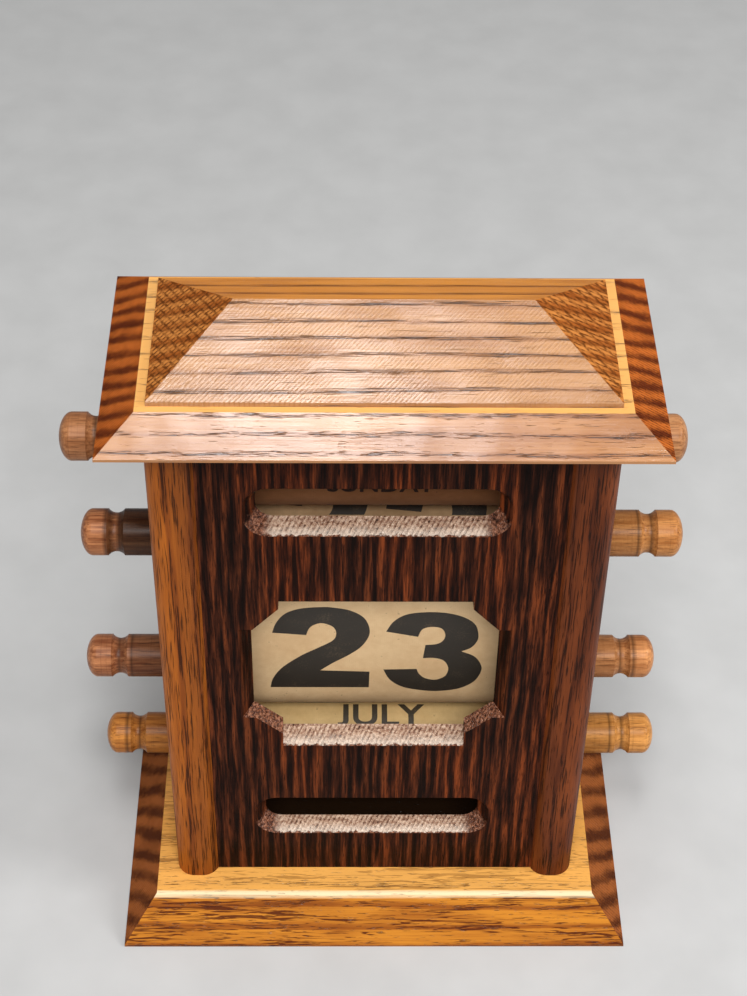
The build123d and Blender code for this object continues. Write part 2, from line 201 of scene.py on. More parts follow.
def wood(
    name, axis, light, dark, pore, end_light, end_dark, tilt, ring_pitch, waver=0.5,
    ring_share=0.5, pore_share=0.8, scatter=0.62, crowd=0.16, pore_run=0.28, pore_fine=3.0,
    figure=0.3, gloss=0.3, coat=0.5, offset=(0, 0, 0), end_hatch=0.0, end_cross=0.0,
    hatch_pitch=0.85, face_hatch=0.0, specular=0.03, level_tone_and_light=None, streaks=0.0, painted_shade_inside=None,
    back_painted_tone=None, side_tone=None, edge_highlight_y=None,
):
    """Ring-porous varnished wood: one solid pattern with its grain along an axis.

    Every face cuts the same pattern, so it runs on round the arrises. Pitches and offsets are
    in mm. The tilt is across the growth rings, and the shares are how dark each mark is.
    """
    g = Graph(name)
    p = g.place(offset)
    here = g.place()
    year, early = growth(g, p, axis, tilt, ring_pitch, waver)
    fibre = g.noise(g.squeeze(p, along_grain(axis, 0.07, 2.8)), 1.0, 4.0, 0.65)
    broad = g.noise(g.squeeze(p, along_grain(axis, 0.03, 0.16)), 1.0, 2.0, 0.5, 0.4)
    tone = g.math("MULTIPLY_ADD", early, ring_share, g.math("MULTIPLY", fibre, 0.5))
    tone = g.math("MULTIPLY_ADD", g.math("SUBTRACT", broad, 0.5), 2 * figure, tone)
    middle = tuple((a * b) ** 0.5 for a, b in zip(light, dark))
    colour = g.ramp(tone, [(0.12, light), (0.42, middle), (0.78, dark)])
    if side_tone:
        # beyond one side the board is paler
        start, full, tint = side_tone
        slope = 1 / (full - start)
        across = g.math("MULTIPLY_ADD", g.part(here, 0), slope, -start * slope)
        across = g.ramp(across, [(0.0, 0.0), (1.0, 1.0)])
        colour = g.mix(across, colour, g.mix(1.0, colour, tint, "MULTIPLY"))
    level = 0.0
    if level_tone_and_light:
        # level faces are paler, partly their own faded wood and partly painted light from above;
        # their pores and streaks are fainter there too
        level = g.ramp(g.facing(2), [(0.90, 0.0), (0.98, 1.0)])
        colour = g.mix(g.math("MULTIPLY", level, 0.75), colour, level_tone_and_light)
        pore_share = g.math("MULTIPLY_ADD", level, -0.3 * pore_share, pore_share)
    # open pores: dark dashes along the grain, crowded in the early wood
    dash = g.noise(g.squeeze(p, along_grain(axis, pore_run, pore_fine)), 1.0, 2.0, 0.6)
    dash = g.math("MULTIPLY_ADD", early, crowd, dash)
    pores = g.ramp(dash, [(scatter, 0.0), (scatter + 0.07, 1.0)])
    colour = g.mix(g.math("MULTIPLY", pores, pore_share), colour, pore)
    if streaks:
        streak = g.math("MULTIPLY", heartwood(g, p, axis), g.math("MULTIPLY_ADD", level, -0.5, 1.0))
        heart = tuple(v * share for v, share in zip(dark, (0.36, 0.20, 0.16)))
        colour = g.mix(g.math("MULTIPLY", streak, streaks), colour, heart)
    if edge_highlight_y:
        # painted highlight: a level face's front edge is painted pale, where light catches the
        # rounded arris
        off = g.math("ABSOLUTE", g.math("SUBTRACT", g.part(here, 1), edge_highlight_y))
        off = g.math("MULTIPLY_ADD", g.math("SUBTRACT", fibre, 0.5), 0.9, off)
        worn = g.ramp(off, [(0.25, 1.0), (0.85, 0.0)])
        worn = g.math("MULTIPLY", worn, g.math("GREATER_THAN", g.facing(2), 0.5))
        colour = g.mix(g.math("MULTIPLY", worn, 0.85), colour, (0.98, 0.80, 0.50))
    end_colour, end_lines = end_grain(
        g, p, year, fibre, broad, end_light, end_dark, end_hatch, end_cross, hatch_pitch,
    )
    end = g.ramp(g.math("ABSOLUTE", g.facing(axis)), [(0.30, 0.0), (0.45, 1.0)])
    colour = g.mix(end, colour, end_colour)
    if painted_shade_inside:
        # painted shade: the case's floor between its walls is painted dark, where little light gets
        # in
        (x_half, y_low, y_high), darkening = painted_shade_inside
        deep = g.math(
            "MULTIPLY",
            g.math("GREATER_THAN", g.part(here, 1), y_low),
            g.math("LESS_THAN", g.part(here, 1), y_high),
        )
        wide = g.math("LESS_THAN", g.math("ABSOLUTE", g.part(here, 0)), x_half)
        colour = g.mix(g.math("MULTIPLY", wide, deep), colour, darkening)
    rough = g.math("MULTIPLY_ADD", fibre, 0.25, gloss)
    rough = g.math("ADD", rough, g.math("MULTIPLY", g.math("MAXIMUM", pores, end), 0.18))
    grooves = g.math("SUBTRACT", g.math("MULTIPLY", fibre, 0.35), g.math("MULTIPLY", pores, 1.0))
    scored = g.math("MULTIPLY", g.math("MULTIPLY", end_lines, end), 0.8)
    if face_hatch:
        marks = g.lines(p, (0.70, -0.71, 0.0), 0.62, 0.25)
        patch = g.ramp(g.noise(p, 0.05, 1.0), [(0.36, 0.10), (0.56, 0.8)])
        face = g.math("MULTIPLY", g.math("MULTIPLY", marks, patch), g.math("SUBTRACT", 1.0, end))
        scored = g.math("MULTIPLY_ADD", face, face_hatch, scored)
        colour = g.mix(g.math("MULTIPLY", face, 0.30 * face_hatch), colour, dark)
    grooves = g.math("SUBTRACT", grooves, scored)
    # the ends have soaked their varnish up
    varnish = g.math("MULTIPLY_ADD", end, -coat, coat)
    if back_painted_tone:
        # painted light: the slope that faces back is painted warmer and lighter, and its varnish is
        # cut there
        back = g.ramp(g.facing(1), [(0.05, 0.0), (0.3, 1.0)])
        colour = g.mix(back, colour, g.mix(1.0, colour, back_painted_tone, "MULTIPLY"))
        varnish = g.math("MULTIPLY", varnish, g.math("MULTIPLY_ADD", back, -0.95, 1.0))
    waves = g.noise(p, 0.09, 1.0)
    normal = g.bump(grooves, 0.16 * MM, 0.9, g.bump(waves, 0.9 * MM, 0.6))
    coat_normal = g.bump(grooves, 0.09 * MM, 0.8, g.bump(waves, 0.4 * MM, 0.6))
    g.set(Base_Color=colour, Roughness=rough, Normal=normal, Specular_IOR_Level=specular)
    g.set(Coat_Weight=varnish, Coat_Roughness=0.20, Coat_IOR=1.6, Coat_Normal=coat_normal)
    return g.material


def stripes(g, p):
    """The panel's face: an unsteady beat across, broken up along the grain."""
    drift = g.noise(g.squeeze(p, (0.16, 0.16, 0.018)), 1.0, 2.0)
    beat = g.math("MULTIPLY_ADD", g.part(p, 0), 2 * math.pi / 2.5, g.math("MULTIPLY", drift, 14.0))
    beat = g.math("MULTIPLY_ADD", g.math("SINE", beat), 0.5, 0.5)
    stripe = g.noise(g.squeeze(p, (0.80, 0.80, 0.06)), 1.0, 2.0, 0.5, 0.3)
    fine = g.noise(g.squeeze(p, (2.2, 2.2, 0.10)), 1.0, 4.0, 0.6)
    value = g.math("MULTIPLY_ADD", fine, 0.50, g.math("MULTIPLY", stripe, 0.37))
    value = g.math("MULTIPLY_ADD", beat, 0.13, value)
    colour = g.ramp(value, [
        (0.39, (0.0060, 0.0018, 0.0010)), (0.46, (0.018, 0.0044, 0.0020)),
        (0.53, (0.048, 0.0118, 0.0046)), (0.64, (0.150, 0.0360, 0.0110)),
    ])
    warm = g.ramp(g.noise(g.squeeze(p, (0.08, 0.08, 0.012)), 1.0, 1.0), [(0.50, 0.0), (0.68, 0.6)])
    colour = g.mix(warm, colour, g.mix(1.0, colour, (2.2, 1.8, 1.3), "MULTIPLY"))
    dash = g.noise(g.squeeze(p, (4.2, 4.2, 0.25)), 1.0, 2.0, 0.6)
    dash = g.ramp(dash, [(0.57, 0.0), (0.65, 1.0)])
    return g.mix(g.math("MULTIPLY", dash, 0.75), colour, (0.004, 0.002, 0.002)), fine, dash


def sill_faces(g, p, ragged):
    """Where sawn end grain shows: on the sills' level faces, behind a chipped front edge."""
    upward = g.math("MULTIPLY_ADD", g.math("ABSOLUTE", g.facing(0)), -0.7, g.facing(2))
    level = g.ramp(g.math("ADD", upward, ragged), [(0.30, 0.0), (0.46, 1.0)])
    # the dark face bites into the sill here and there
    chips = g.math("MULTIPLY", g.math("SUBTRACT", g.noise(p, 0.9, 3.0, 0.6), 0.45), 1.5)
    behind = g.math("SUBTRACT", g.math("SUBTRACT", g.part(p, 1), PANEL_FACE_Y), chips)
    level = g.math("MULTIPLY", level, g.ramp(behind, [(0.0, 0.0), (0.2, 1.0)]))
    # and it runs out into the dark corners
    spread = g.math("ABSOLUTE", g.math("ADD", g.part(p, 0), SLOTS_SHIFT))
    spread = g.math("MULTIPLY", g.math("MULTIPLY_ADD", ragged, 4.0, spread), RAMP_SPAN)
    level = g.math("MULTIPLY", level, g.ramp(spread, [(0.200, 1.0), (0.220, 0.0)]))
    return level, behind


def panel_wood(name):
    """Dark straight-striped wood, with rough pale end grain on the apertures' sills, its paleness
    partly painted sheen.
    """
    g = Graph(name)
    p = g.place()
    colour, fine, dash = stripes(g, p)
    rough = g.math("MULTIPLY_ADD", fine, 0.25, 0.30)
    ragged = g.math("MULTIPLY", g.math("SUBTRACT", g.noise(p, 0.9, 3.0, 0.7), 0.5), 0.5)
    level, behind = sill_faces(g, p, ragged)
    # sawn end grain: diagonal marks and dark pits, pale partly as painted sheen, with a painted
    # highlight at the front edge
    saw = g.lines(p, (0.80, -0.62, 0.0), 0.80, 0.45)
    pits = g.noise(p, 1.7, 3.0, 0.7)
    cloud = g.noise(g.squeeze(p, (0.25, 1.0, 1.0)), 1.0, 2.0)
    value = g.math("MULTIPLY_ADD", pits, 0.65, g.math("MULTIPLY", cloud, 0.35))
    sawn = g.ramp(g.math("MULTIPLY_ADD", saw, -0.11, value), [
        (0.28, (0.05, 0.020, 0.011)), (0.37, (0.25, 0.115, 0.066)),
        (0.46, (0.44, 0.255, 0.165)), (0.60, (0.76, 0.53, 0.38)),
    ])
    # painted highlight: the sills' front edge is painted paler
    edge = g.ramp(g.math("MULTIPLY", behind, 0.1), [(0.04, 1.0), (0.16, 0.0)])
    sawn = g.mix(g.math("MULTIPLY", edge, 0.6), sawn, (0.95, 0.80, 0.66))
    colour = g.mix(level, colour, sawn)
    # the big aperture's lower corners: worn to a coppery gloss
    worn = g.ramp(g.math("ADD", g.facing(2), ragged), [(0.22, 0.0), (0.40, 1.0)])
    worn = g.math("SUBTRACT", worn, level, 0.0, True)
    copper = g.ramp(pits, [
        (0.36, (0.030, 0.009, 0.004)), (0.50, (0.20, 0.065, 0.030)), (0.64, (0.52, 0.23, 0.13)),
    ])
    colour = g.mix(g.math("MULTIPLY", worn, 0.85), colour, copper)
    grooves = g.math("SUBTRACT", g.math("MULTIPLY", fine, 0.3), g.math("MULTIPLY", dash, 0.8))
    normal = g.bump(grooves, 0.12 * MM, 0.7, g.bump(g.noise(p, 0.1, 1.0), 0.7 * MM, 0.6))
    cut = g.math("ADD", level, worn)
    ridges = g.math("MULTIPLY", g.math("SUBTRACT", pits, g.math("MULTIPLY", saw, 0.4)), cut)
    normal = g.bump(ridges, 0.6 * MM, 1.0, normal)
    g.set(Base_Color=colour, Roughness=rough, Normal=normal, Specular_IOR_Level=0.03)
    g.set(Coat_Weight=g.math("MULTIPLY_ADD", cut, 0.8, 0.06), Coat_Roughness=0.16, Coat_IOR=1.45)
    g.set(Coat_Normal=normal)
    return g.material


def knob_wood(name, light, dark, seed, gloss, shank):
    """Turned hardwood: grain along the roller, fine rings from the chisel, a darker shank."""
    g = Graph(name)
    p = g.place((seed * 7.3, seed * 3.1, seed * 5.7))
    here = g.place()
    out = g.math("ABSOLUTE", g.part(here, 0))
    fibre = g.noise(g.squeeze(p, (0.10, 1.5, 1.5)), 1.0, 4.0, 0.6, 0.3)
    broad = g.noise(g.squeeze(p, (0.05, 0.28, 0.28)), 1.0, 2.0)
    tone = g.math("ADD", g.math("MULTIPLY", fibre, 0.6), g.math("MULTIPLY", broad, 0.5))
    colour = g.ramp(tone, [(0.38, light), (0.68, dark)])
    dash = g.ramp(g.noise(g.squeeze(p, (0.3, 4.5, 4.5)), 1.0, 2.0), [(0.58, 0.0), (0.68, 1.0)])
    colour = g.mix(g.math("MULTIPLY", dash, 0.55), colour, shaded(dark, 0.3))
    turned = g.noise(g.squeeze(here, (3.2, 0.02, 0.02)), 1.0, 3.0, 0.7)
    colour = g.mix(g.ramp(turned, [(0.55, 0.0), (0.75, 0.4)]), colour, shaded(dark, 0.45))
    # darker on the groove and the shank behind it than on the head
    reach = g.math("MULTIPLY_ADD", g.math("SUBTRACT", fibre, 0.5), 1.5, out)
    darkening = g.ramp(g.math("MULTIPLY", reach, RAMP_SPAN), [
        (0.520, 1.0), (0.530, 0.35), (0.545, 0.9), (0.552, 0.0),
    ])
    colour = g.mix(darkening, colour, g.mix(1.0, colour, (shank,) * 3, "MULTIPLY"))
    # darker in the two corners of the groove
    collars = g.ramp(g.math("MULTIPLY", out, RAMP_SPAN), [
        (0.519, 0.0), (0.524, 0.8), (0.529, 0.0), (0.546, 0.0), (0.552, 0.9), (0.557, 0.0),
    ])
    colour = g.mix(collars, colour, shaded(dark, 0.18))
    rough = g.math("MULTIPLY_ADD", fibre, 0.2, gloss)
    lumps = g.noise(p, 0.55, 2.0, 0.6)
    normal = g.bump(g.math("ADD", turned, g.math("MULTIPLY", dash, -0.5)), 0.10 * MM, 0.8)
    normal = g.bump(lumps, 0.35 * MM, 0.7, normal)
    g.set(Base_Color=colour, Roughness=rough, Normal=normal, Specular_IOR_Level=0.03)
    g.set(Coat_Weight=0.5, Coat_Roughness=0.32, Coat_IOR=1.35)
    return g.material


def bare_wood(name):
    """Barrels: turned, unvarnished, pale."""
    g = Graph(name)
    p = g.place()
    fibre = g.noise(g.squeeze(p, (0.08, 1.4, 1.4)), 1.0, 4.0, 0.6)
    turned = g.noise(g.squeeze(p, (2.0, 0.02, 0.02)), 1.0, 2.0, 0.6)
    colour = g.ramp(fibre, [(0.35, (0.60, 0.42, 0.22)), (0.7, (0.40, 0.24, 0.10))])
    colour = g.mix(g.ramp(turned, [(0.5, 0.0), (0.75, 0.3)]), colour, (0.28, 0.16, 0.07))
    g.set(Base_Color=colour, Roughness=g.math("MULTIPLY_ADD", fibre, 0.2, 0.6))
    g.set(Normal=g.bump(g.math("ADD", fibre, turned), 0.12 * MM, 0.7))
    return g.material


def paper(name, light, dark, speck):
    """Old paper: uneven toning, faint fibres, foxing, a slight waviness."""
    g = Graph(name)
    p = g.place()
    tone = g.noise(p, 0.07, 3.0, 0.55)
    cloud = g.noise(p, 0.45, 3.0, 0.6)
    value = g.math("ADD", g.math("MULTIPLY", tone, 0.6), g.math("MULTIPLY", cloud, 0.4))
    colour = g.ramp(value, [(0.36, dark), (0.62, light)])
    fibre = g.noise(g.squeeze(p, (1.2, 4.0, 4.0)), 1.0, 3.0, 0.7)
    colour = g.mix(g.ramp(fibre, [(0.5, 0.0), (0.8, 0.35)]), colour, dark)
    weave = g.math("MAXIMUM", g.lines(p, (1, 0, 0), 0.42, 0.1), g.lines(p, (0, 0, 1), 0.42, 0.1))
    colour = g.mix(g.math("MULTIPLY", weave, 0.22), colour, dark)
    spots = g.noise(p, 0.9, 2.0, 0.6)
    colour = g.mix(g.ramp(spots, [(0.68, 0.0), (0.76, 0.55)]), colour, speck)
    g.set(Base_Color=colour, Roughness=g.math("MULTIPLY_ADD", fibre, 0.15, 0.62))
    g.set(Normal=g.bump(fibre, 0.03 * MM, 0.6, g.bump(g.noise(p, 0.12, 1.0), 0.5 * MM, 0.5)))
    return g.material


def ink(name, solid, worn):
    """Printing ink that has worn a little into the paper's tooth."""
    g = Graph(name)
    p = g.place()
    tooth = g.noise(p, 3.0, 3.0, 0.7)
    patch = g.noise(p, 0.25, 2.0)
    wear = g.math("MULTIPLY_ADD", patch, 0.35, g.math("MULTIPLY", tooth, 0.65))
    colour = g.ramp(wear, [(0.54, solid), (0.74, worn)])
    g.set(Base_Color=colour, Roughness=g.math("MULTIPLY_ADD", tooth, 0.2, 0.5))
    g.set(Normal=g.bump(tooth, 0.02 * MM, 0.5))
    return g.material


def metal(name, light, dark):
    """Old screws: drawn steel or brass, dulled and tarnished in patches."""
    g = Graph(name)
    p = g.place()
    brush = g.noise(g.squeeze(p, (6.0, 0.8, 0.8)), 1.0, 2.0)
    patch = g.noise(p, 1.3, 3.0, 0.6)
    colour = g.ramp(g.math("MULTIPLY_ADD", patch, 0.7, g.math("MULTIPLY", brush, 0.3)), [
        (0.38, light), (0.64, dark),
    ])
    g.set(Base_Color=colour, Metallic=1.0, Roughness=g.math("MULTIPLY_ADD", patch, 0.3, 0.25))
    g.set(Normal=g.bump(brush, 0.02 * MM, 0.5))
    return g.material


def dress(node, material):
    """Give a CAD node its finish."""
    for held in nodes[node].material_slots:
        held.link = "OBJECT"
        held.material = material


def soften(node, width, segments=3, angle=32):
    """Ease a wooden piece's arrises."""
    merge = nodes[node].modifiers.new("flat_faces", "DECIMATE")
    merge.decimate_type = "DISSOLVE"
    merge.angle_limit = math.radians(0.6)
    bevel = nodes[node].modifiers.new("arrises", "BEVEL")
    bevel.width = width * MM
    bevel.segments = segments
    bevel.limit_method = "ANGLE"
    bevel.angle_limit = math.radians(angle)
    bevel.use_clamp_overlap = True


# ---- woods -----------------------------------------------------------------------------------
FLAT_SAWN = (0, 0.75, 0.65)
GREY_PORE = (0.045, 0.020, 0.012)

dress("base_plinth", wood(
    "plinth_oak", 0, light=(0.60, 0.22, 0.020), dark=(0.22, 0.052, 0.004),
    pore=(0.060, 0.013, 0.002), end_light=(0.36, 0.105, 0.025), end_dark=(0.090, 0.021, 0.005),
    tilt=FLAT_SAWN, ring_pitch=4.6, waver=0.35, ring_share=0.40, pore_share=0.7, scatter=0.64,
    crowd=0.10, figure=0.35, gloss=0.34, coat=0.45, end_hatch=0.4,
    level_tone_and_light=(0.88, 0.45, 0.110), streaks=0.92, painted_shade_inside=(CASE_INSIDE, (0.030, 0.014, 0.006)),
    edge_highlight_y=PLINTH_LEDGE_EDGE_Y,
))
dress("cornice_board", wood(
    "cornice_oak", 0, light=(0.42, 0.180, 0.056), dark=(0.20, 0.064, 0.017), pore=GREY_PORE,
    end_light=(0.50, 0.125, 0.020), end_dark=(0.12, 0.022, 0.005), tilt=FLAT_SAWN,
    ring_pitch=3.2, waver=0.35, ring_share=0.30, pore_share=0.85, scatter=0.67, crowd=0.18,
    pore_run=0.22, pore_fine=5.6, figure=0.5, gloss=0.26, coat=1.0, offset=(31, 7, 3),
    end_hatch=0.75, hatch_pitch=0.7, level_tone_and_light=(0.90, 0.46, 0.12),
    back_painted_tone=(1.55, 1.30, 0.75),
))
dress("roof_block", wood(
    "roof_oak", 0, light=(0.46, 0.225, 0.088), dark=(0.25, 0.098, 0.032), pore=GREY_PORE,
    end_light=(0.54, 0.20, 0.045), end_dark=(0.32, 0.085, 0.014), tilt=FLAT_SAWN,
    ring_pitch=3.2, waver=0.30, ring_share=0.35, pore_share=0.9, scatter=0.685, crowd=0.22,
    pore_run=0.10, pore_fine=6.5, figure=0.45, gloss=0.26, coat=1.0, offset=(11, 17, 9),
    end_hatch=1.0, end_cross=0.9, hatch_pitch=1.2, face_hatch=0.7,
    back_painted_tone=(1.55, 1.20, 0.40),
))
dress("left_side_board", wood(
    "left_board_wood", 2, light=(0.32, 0.088, 0.011), dark=(0.11, 0.024, 0.004),
    pore=(0.016, 0.004, 0.001), end_light=(0.16, 0.04, 0.010), end_dark=(0.05, 0.012, 0.004),
    tilt=(0.95, 0.30, 0), ring_pitch=4.2, waver=0.5, ring_share=0.30, scatter=0.565,
    crowd=0.08, pore_run=0.10, pore_fine=3.6, figure=0.28, gloss=0.34, coat=0.15,
    offset=(3, 5, 40), side_tone=(*LEFT_BOARD_ROUND_X, (1.7, 1.7, 1.3)),
))
dress("right_side_board", wood(
    "right_board_wood", 2, light=(0.20, 0.046, 0.010), dark=(0.060, 0.012, 0.003),
    pore=(0.010, 0.003, 0.001), end_light=(0.12, 0.03, 0.010), end_dark=(0.04, 0.010, 0.004),
    tilt=(0.95, -0.30, 0), ring_pitch=5.6, waver=1.4, ring_share=0.30, scatter=0.575,
    crowd=0.08, pore_run=0.12, pore_fine=3.6, figure=0.45, gloss=0.34, coat=0.15,
    offset=(43, 15, 90),
))
dress("back_panel", wood(
    "back_board_wood", 2, light=(0.36, 0.15, 0.05), dark=(0.16, 0.055, 0.018),
    pore=(0.05, 0.018, 0.007), end_light=(0.20, 0.08, 0.03), end_dark=(0.09, 0.03, 0.012),
    tilt=(0.8, 0.5, 0), ring_pitch=6.5, waver=1.3, ring_share=0.5, figure=0.5, gloss=0.42,
    coat=0.15, offset=(23, 55, 10), specular=0.3,
))
dress("front_panel", panel_wood("striped_panel_wood"))

# each knob's pale and dark wood, its gloss, and how much of the light its shank keeps
KNOB_LOOKS = {
    "day_knob_left": ((0.52, 0.23, 0.095), (0.22, 0.075, 0.026), 0.34, 0.5),
    "upper_date_knob_left": ((0.62, 0.26, 0.105), (0.21, 0.060, 0.021), 0.34, 0.17),
    "lower_date_knob_left": ((0.62, 0.26, 0.110), (0.22, 0.066, 0.025), 0.34, 0.50),
    "month_knob_left": ((0.70, 0.28, 0.060), (0.27, 0.078, 0.013), 0.32, 0.75),
    "day_knob_right": ((0.57, 0.27, 0.115), (0.26, 0.098, 0.033), 0.34, 0.6),
    "upper_date_knob_right": ((0.66, 0.29, 0.090), (0.32, 0.110, 0.026), 0.36, 0.8),
    "lower_date_knob_right": ((0.80, 0.36, 0.135), (0.36, 0.125, 0.036), 0.34, 0.7),
    "month_knob_right": ((0.76, 0.34, 0.090), (0.38, 0.145, 0.028), 0.30, 0.85),
}
for seed, (knob, look) in enumerate(sorted(KNOB_LOOKS.items()), 1):
    light, dark, gloss, shank = look
    dress(knob, knob_wood(knob + "_wood", light, dark, seed, gloss, shank))

barrel_material = bare_wood("bare_barrel_wood")
for barrel in ("day_drum", "month_drum", "upper_date_roller", "lower_date_roller"):
    dress(barrel, barrel_material)

strip_paper = paper("aged_strip_paper", (0.92, 0.64, 0.35), (0.78, 0.50, 0.25), (0.36, 0.20, 0.08))
roll_paper = paper("shaded_roll_paper", (0.50, 0.32, 0.16), (0.34, 0.20, 0.09), (0.18, 0.09, 0.04))
month_paper = paper("aged_month_paper", (0.82, 0.56, 0.24), (0.66, 0.42, 0.16), (0.34, 0.18, 0.06))
day_paper = paper("aged_day_paper", (0.54, 0.22, 0.085), (0.40, 0.15, 0.05), (0.16, 0.07, 0.03))
dress("date_strip", strip_paper)
dress("upper_strip_roll", roll_paper)
dress("lower_strip_roll", roll_paper)
dress("month_band", month_paper)
dress("day_band", day_paper)

steel = metal("dull_steel", (0.42, 0.40, 0.37), (0.16, 0.13, 0.10))
brass = metal("dull_brass", (0.58, 0.42, 0.18), (0.24, 0.14, 0.05))
dress("base_screws", steel)
dress("cornice_screws", steel)
dress("back_screws", brass)

soften("base_plinth", 0.45)
soften("cornice_board", 0.35)
soften("roof_block", 0.3)
soften("back_panel", 0.25)
soften("front_panel", 0.22, 2)


# ---- numbers and words -----------------------------------------------------------------------
def rounded(outline, steps=6):
    """An outline whose points marked with a third value are corners; the rest is curved."""
    count = len(outline)
    made = []
    for i in range(count):
        a, b, c, d = (outline[(i + k) % count] for k in (-1, 0, 1, 2))
        made.append((b[0], b[1]))
        if len(b) > 2 and len(c) > 2:
            continue
        p0 = b if len(b) > 2 else a
        p3 = c if len(c) > 2 else d
        for k in range(1, steps):
            t = k / steps
            made.append(tuple(
                0.5 * (
                    2 * b[n] + (c[n] - p0[n]) * t
                    + (2 * p0[n] - 5 * b[n] + 4 * c[n] - p3[n]) * t * t
                    + (3 * b[n] - p0[n] - 3 * c[n] + p3[n]) * t * t * t
                )
                for n in (0, 1)
            ))
    return made


# Each digit's loops, in mm from the middle of a two-digit number; the second digit's place is
# the first's moved by DIGIT_STEP. A third value marks a corner.
DIGIT_STEP = 23.7
TWO = [
    (-21.8, 5.6, 1), (-14.8, 4.9, 1), (-13.9, 7.4), (-11.7, 8.6), (-9.3, 7.5), (-8.6, 5.3),
    (-9.4, 3.1), (-12.6, 0.7), (-16.1, -1.8), (-19.9, -5.5), (-21.9, -9.0), (-22.5, -11.9, 1),
    (-1.7, -11.9, 1), (-1.6, -6.8, 1), (-12.0, -6.4, 1), (-9.1, -3.8), (-5.9, -1.3),
    (-3.2, 1.6), (-1.7, 5.6), (-2.7, 9.9), (-5.6, 12.4), (-9.4, 13.4), (-12.0, 13.5),
    (-16.0, 13.0), (-19.0, 11.5), (-20.9, 8.7),
]
THREE = [
    (1.7, 6.0, 1), (8.3, 4.4, 1), (9.1, 6.7), (11.0, 7.5), (13.1, 7.0), (13.9, 5.0), (13.5, 3.2),
    (12.2, 2.1), (9.9, 1.8, 1), (9.5, -2.4, 1), (11.8, -2.3), (13.9, -3.2), (14.9, -5.5),
    (14.5, -7.9), (13.2, -9.1), (11.8, -9.4), (10.0, -8.8), (8.8, -7.4), (8.3, -5.9, 1),
    (1.3, -6.1, 1), (2.8, -9.5), (5.6, -11.8), (9.7, -12.9), (13.3, -13.1), (17.5, -12.2),
    (20.6, -9.8), (21.9, -6.3), (21.5, -3.9), (20.1, -1.7), (17.4, -0.2, 1), (19.4, 1.0),
    (20.6, 3.2), (20.7, 5.4), (19.9, 8.3), (17.5, 10.5), (13.8, 11.8), (9.4, 12.0), (5.6, 11.2),
    (3.1, 9.0),
]
ONE = [
    (-15.2, -12.6, 1), (-8.2, -12.6, 1), (-8.2, 12.9, 1), (-13.6, 12.9, 1), (-14.9, 10.2),
    (-17.2, 8.2), (-20.4, 7.0, 1), (-20.4, 2.6, 1), (-17.6, 3.4), (-15.2, 4.8, 1),
]
FOUR = [
    (-9.6, -12.6, 1), (-3.6, -12.6, 1), (-3.6, -7.6, 1), (-0.6, -7.6, 1), (-0.6, -2.8, 1),
    (-3.6, -2.8, 1), (-3.6, 12.9, 1), (-9.0, 12.9, 1), (-22.0, -3.0, 1), (-22.0, -7.6, 1),
    (-9.6, -7.6, 1),
]
FOUR_EYE = [(-9.6, -2.8, 1), (-15.8, -2.8, 1), (-9.6, 5.6, 1)]
FIVE = [
    (-19.4, 12.9, 1), (-3.4, 12.9, 1), (-3.4, 7.9, 1), (-14.8, 7.9, 1), (-15.5, 3.6, 1),
    (-11.2, 4.9), (-6.2, 3.9), (-2.6, 0.9), (-1.2, -3.6), (-2.6, -8.6), (-6.4, -12.0),
    (-11.6, -13.1), (-17.4, -12.2), (-20.8, -9.4), (-22.2, -5.6, 1), (-15.2, -5.0, 1),
    (-14.0, -7.4), (-11.6, -8.4), (-9.0, -7.2), (-8.0, -4.2), (-9.0, -1.2), (-11.6, 0.1),
    (-13.8, -0.3), (-15.2, -1.7, 1), (-21.8, -0.6, 1),
]
DIGITS = {"1": [ONE], "2": [TWO], "4": [FOUR, FOUR_EYE], "5": [FIVE]}
NUMBER_SHIFT = -0.65  # the numbers above and below sit a little to the left
DIGIT_DROP = 1.25  # the printing leans, so each number's second digit is lower


def joint_axis(name):
    for joint in frame["joints"]:
        if joint["name"] == name:
            return joint["pos_m"][1], joint["pos_m"][2]
    raise ValueError(name)


def ring_radius(node):
    low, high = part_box(node)
    return (high.y - low.y) / 2


def on_ring(centre, radius):
    """Maps a distance along the paper, upwards from the front's middle, to a point on the roll."""
    def place(s, lift):
        angle, reach = s / radius, radius + lift
        return centre[0] - reach * math.cos(angle), centre[1] + reach * math.sin(angle)
    return place


WEB_STAND_OFF = 0.55 * MM  # the hanging strip's front, off the two rolls
WEB_WRAP = math.radians(60.0)  # how far it follows each roll


class Web:
    """The strip between the rolls: round the lower roll, straight, round the upper one."""

    def __init__(self, number_z):
        self.upper, self.lower = joint_axis("upper_date_turn"), joint_axis("lower_date_turn")
        self.upper_radius = ring_radius("upper_strip_roll") + WEB_STAND_OFF
        self.lower_radius = ring_radius("lower_strip_roll") + WEB_STAND_OFF
        span = self.upper[1] - self.lower[1]
        self.lean = math.asin((self.upper_radius - self.lower_radius) / span)
        self.straight = span * math.cos(self.lean)
        start = self.lower[1] - self.lower_radius * math.sin(self.lean)
        self.middle = (number_z - start) / math.cos(self.lean)

    def ends(self):
        """How far the strip's front reaches below and above the number's middle."""
        above = self.straight - self.middle + self.upper_radius * (WEB_WRAP + self.lean)
        below = -self.middle - self.lower_radius * (WEB_WRAP - self.lean)
        return below, above

    def place(self, s, lift):
        along = self.middle + s
        if along < 0:
            angle = -self.lean + along / self.lower_radius
            centre, radius = self.lower, self.lower_radius
        elif along > self.straight:
            angle = -self.lean + (along - self.straight) / self.upper_radius
            centre, radius = self.upper, self.upper_radius
        else:
            angle, centre, radius = -self.lean, self.lower, self.lower_radius
        outward = -math.cos(angle), math.sin(angle)
        upward = math.sin(angle), math.cos(angle)
        rise = along if 0 <= along <= self.straight else 0.0
        return tuple(
            centre[k] + (radius + lift) * outward[k] + rise * upward[k] for k in (0, 1)
        )


INK_LIFT = 0.03 * MM
INK_DEPTH = 0.05 * MM


